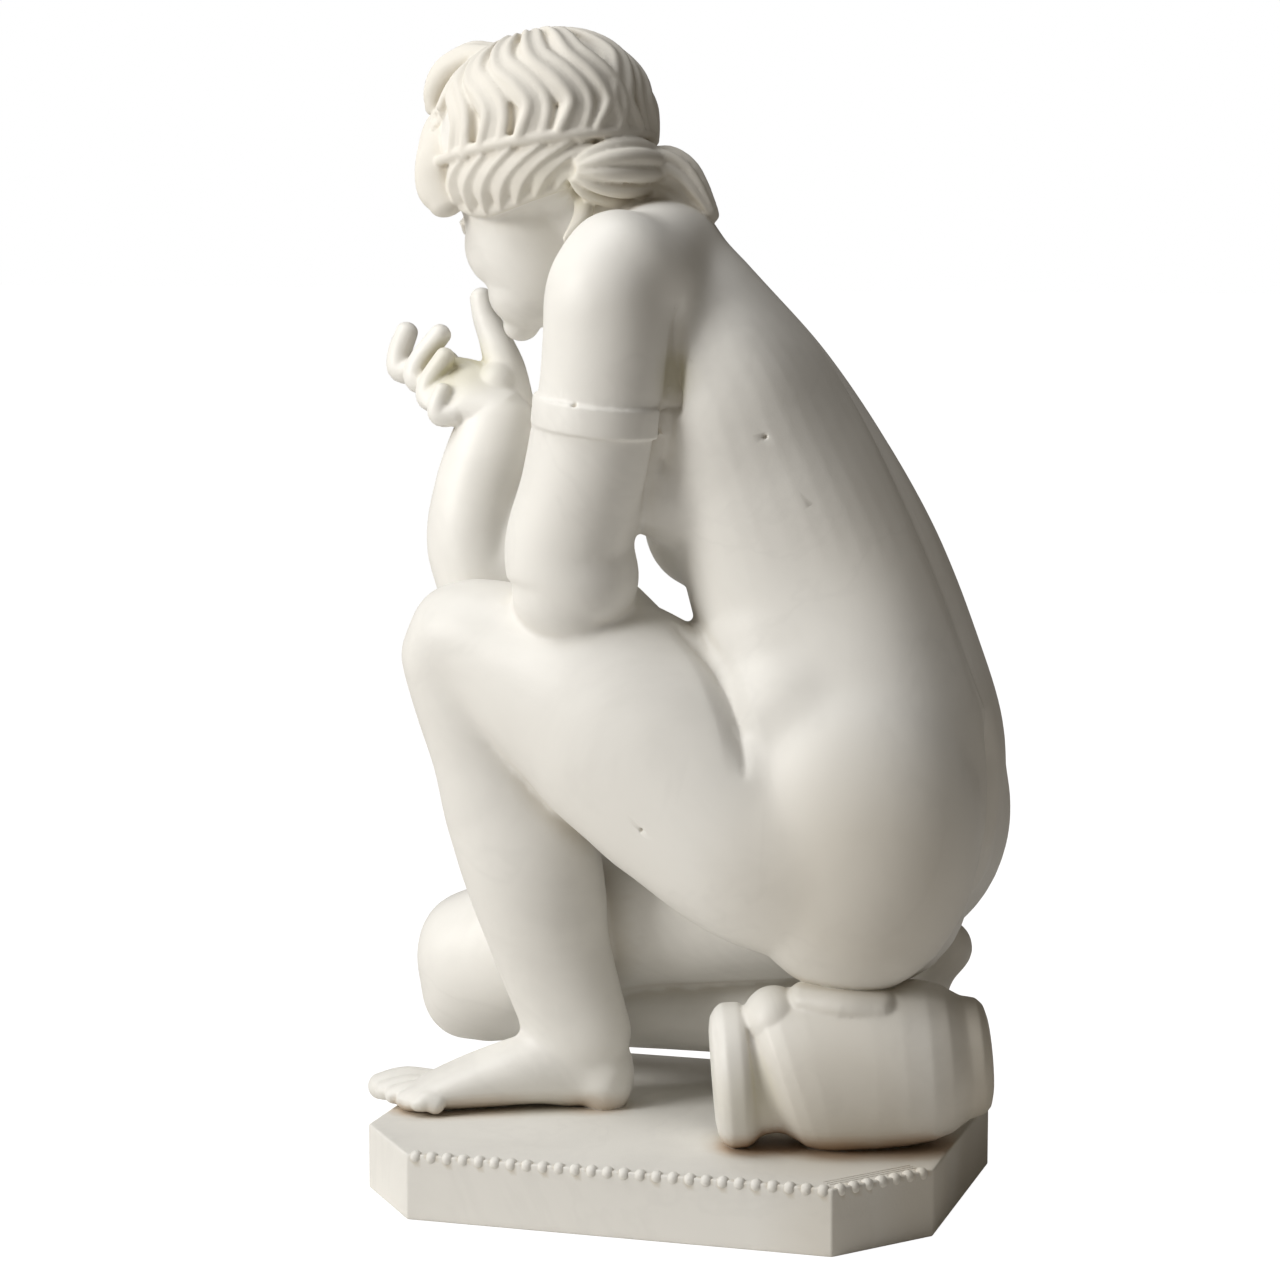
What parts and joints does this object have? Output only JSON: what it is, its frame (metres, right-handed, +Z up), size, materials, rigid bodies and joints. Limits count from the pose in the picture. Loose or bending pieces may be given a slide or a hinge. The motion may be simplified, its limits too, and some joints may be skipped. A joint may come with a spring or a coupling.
{
  "type": "classical marble statue",
  "caption": "Crouching nude after the antique in white marble, seated on a fallen water jar, carved with its eight-sided bead-edged plinth.",
  "frame": {"origin": "middle of the plinth's underside", "axes": "+Z up; the figure faces -X with her left side towards -Y; the plinth's long sides run along X"},
  "size_m": [0.5212, 0.3481, 0.8796],
  "materials": {
    "white_marble": "honed"
  },
  "bodies": {
    "root": {"crouching_figure_on_plinth": "white_marble"}
  },
  "joints": []
}
